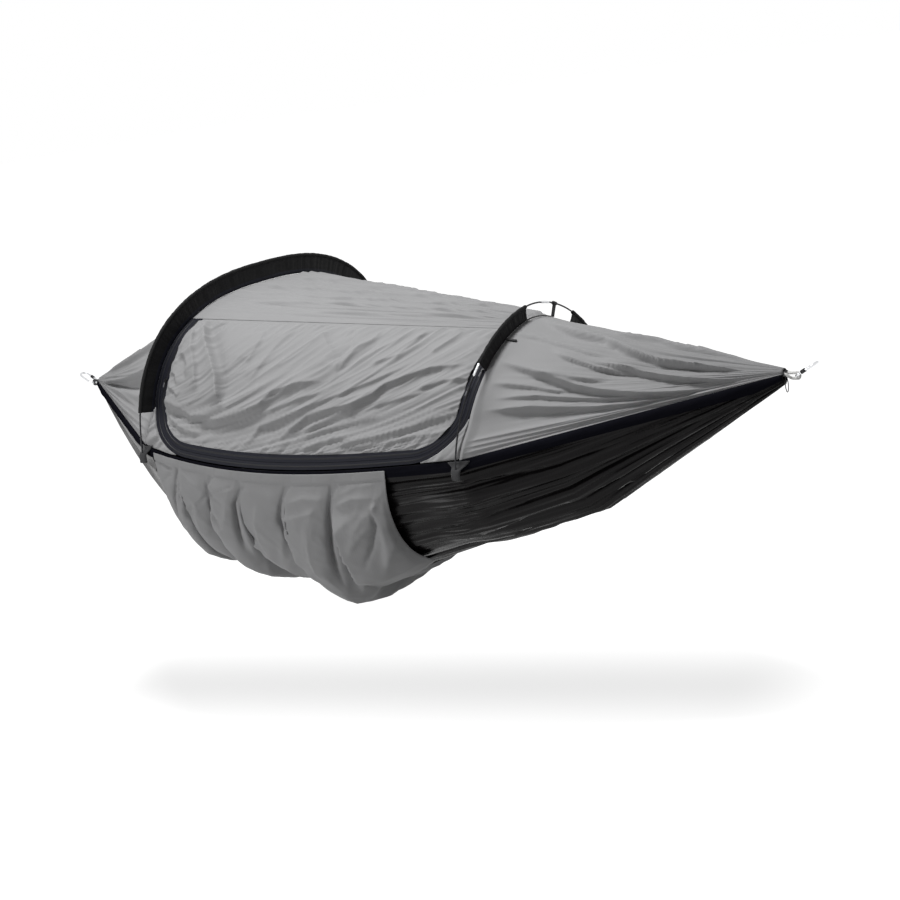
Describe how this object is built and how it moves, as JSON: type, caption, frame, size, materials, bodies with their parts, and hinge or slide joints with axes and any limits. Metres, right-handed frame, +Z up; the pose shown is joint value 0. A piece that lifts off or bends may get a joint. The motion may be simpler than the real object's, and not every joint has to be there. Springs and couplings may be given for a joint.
{
  "type": "hammock tent",
  "caption": "Hung hammock under a zipped fabric cabin on two bent poles, with a pouch beneath and a carabiner at each end.",
  "frame": {"origin": "where the strap bears inside the head end carabiner's outer bow", "axes": "+X from the head end to the foot end, -Y the door side, +Z up"},
  "size_m": [2.9058, 1.2226, 1.0906],
  "materials": {
    "cover_fabric": "matt grey polyester cover cloth",
    "hammock_fabric": "black ripstop nylon",
    "band_fabric": "black binding",
    "net_fabric": "fine black insect netting",
    "zip_fabric": "dark navy coil zip on woven tape",
    "sleeve_fabric": "black woven pole sleeve",
    "webbing": "black nylon webbing",
    "pole": "dark anodised tube",
    "ferrule": "bright drawn tube",
    "rope_light": "white braided rope",
    "rope_dark": "black braided cord",
    "alloy": "polished alloy",
    "pin": "bright steel pin",
    "lock": "black anodised, knurled",
    "slider": "black painted die cast",
    "pull": "dark grey moulded pull"
  },
  "bodies": {
    "tent": {"door_slider_foot": "slider", "door_slider_head": "slider", "door_zip_tape": "zip_fabric", "far_hem_band": "band_fabric", "far_wall": "cover_fabric", "foot_cover": "cover_fabric", "foot_drawcord": "rope_dark", "foot_end_loop": "rope_light", "foot_end_tie": "rope_dark", "foot_far_pocket": "webbing", "foot_ferrule_far": "ferrule", "foot_ferrule_near": "ferrule", "foot_ferrule_top": "ferrule", "foot_gusset": "cover_fabric", "foot_near_pocket": "webbing", "foot_pole_far_foot": "pole", "foot_pole_far_shoulder": "pole", "foot_pole_near_foot": "pole", "foot_pole_near_shoulder": "pole", "foot_sleeve_far": "sleeve_fabric", "foot_sleeve_near": "sleeve_fabric", "hammock_body": "hammock_fabric", "head_arch_sleeve": "sleeve_fabric", "head_cover": "cover_fabric", "head_drawcord": "rope_dark", "head_end_loop": "rope_dark", "head_end_tie": "rope_dark", "head_far_pocket": "webbing", "head_ferrule_far": "ferrule", "head_ferrule_near": "ferrule", "head_ferrule_top": "ferrule", "head_gusset": "cover_fabric", "head_near_pocket": "webbing", "head_pole_far_foot": "pole", "head_pole_far_shoulder": "pole", "head_pole_near_foot": "pole", "head_pole_near_shoulder": "pole", "near_hem_band": "band_fabric", "net_slider_foot": "slider", "net_zip_tape": "zip_fabric", "ridge_cord": "rope_dark", "ridge_strap": "webbing", "roof_panel": "cover_fabric", "under_pouch": "cover_fabric"},
    "head_carabiner_body": {"head_carabiner": "alloy", "head_gate_pin": "pin"},
    "head_gate_arm": {"head_gate": "alloy"},
    "head_lock": {"head_lock_sleeve": "lock"},
    "foot_carabiner_body": {"foot_carabiner": "alloy", "foot_gate_pin": "pin"},
    "foot_gate_arm": {"foot_gate": "alloy"},
    "foot_lock": {"foot_lock_sleeve": "lock"},
    "door": {"door_panel": "cover_fabric"},
    "net": {"net_panel": "net_fabric"},
    "door_pull_head": {"door_slider_head_pull": "pull"},
    "door_pull_foot": {"door_slider_foot_pull": "pull"},
    "net_pull_foot": {"net_slider_foot_pull": "pull"},
    "toggle": {"tie_back_toggle": "webbing"}
  },
  "joints": [
    {"name": "head_carabiner_swing", "type": "hinge", "parent": "tent", "child": "head_carabiner_body", "pos_m": [0.04244, 0, -0.0245], "axis": [0.5, 0, 0.866], "range_deg": [-60, 60], "stiffness_Nm_per_rad": 0.03},
    {"name": "head_gate_hinge", "type": "hinge", "parent": "head_carabiner_body", "child": "head_gate_arm", "pos_m": [0.0394, 0.0165, -0.02275], "axis": [0.5, 0, 0.866], "range_deg": [0, 25], "stiffness_Nm_per_rad": 0.1, "springref_deg": -20.05},
    {"name": "head_lock_slide", "type": "slide", "parent": "head_gate_arm", "child": "head_lock", "axis": [-0.866, 0, 0.5], "range_m": [0, 0.0135]},
    {"name": "foot_carabiner_swing", "type": "hinge", "parent": "tent", "child": "foot_carabiner_body", "pos_m": [2.85058, 0, -0.0245], "axis": [-0.5, 0, 0.866], "range_deg": [-60, 60], "stiffness_Nm_per_rad": 0.03},
    {"name": "foot_gate_hinge", "type": "hinge", "parent": "foot_carabiner_body", "child": "foot_gate_arm", "pos_m": [2.85361, -0.0165, -0.02275], "axis": [-0.5, 0, 0.866], "range_deg": [0, 25], "stiffness_Nm_per_rad": 0.1, "springref_deg": -20.05},
    {"name": "foot_lock_slide", "type": "slide", "parent": "foot_gate_arm", "child": "foot_lock", "axis": [0.866, 0, 0.5], "range_m": [0, 0.0135]},
    {"name": "door_lift", "type": "hinge", "parent": "tent", "child": "door", "pos_m": [0.97607, -0.33543, 0.24661], "axis": [-0.9665, -0.2333, 0.1073], "range_deg": [0, 110]},
    {"name": "net_lift", "type": "hinge", "parent": "tent", "child": "net", "pos_m": [0.97607, -0.33543, 0.24661], "axis": [-0.9665, -0.2333, 0.1073], "range_deg": [0, 102]},
    {"name": "door_pull_head_flip", "type": "hinge", "parent": "tent", "child": "door_pull_head", "pos_m": [0.98991, -0.50585, 0.09376], "axis": [-0.9718, -0.1528, 0.1794], "range_deg": [0, 150]},
    {"name": "door_pull_foot_flip", "type": "hinge", "parent": "tent", "child": "door_pull_foot", "pos_m": [1.97505, -0.29314, 0.00945], "axis": [-0.9743, -0.1085, 0.1974], "range_deg": [0, 150]},
    {"name": "net_pull_foot_flip", "type": "hinge", "parent": "tent", "child": "net_pull_foot", "pos_m": [1.9982, -0.24637, 0.05188], "axis": [-0.9758, -0.0838, 0.202], "range_deg": [0, 150]},
    {"name": "toggle_flip", "type": "hinge", "parent": "tent", "child": "toggle", "pos_m": [2.01712, -0.13963, 0.11366], "axis": [0.0851, -0.9018, -0.4237], "range_deg": [0, 80]}
  ],
  "couplings": [
    {"joint": "net_lift", "follows": "door_lift", "ratio": 0.92}
  ]
}
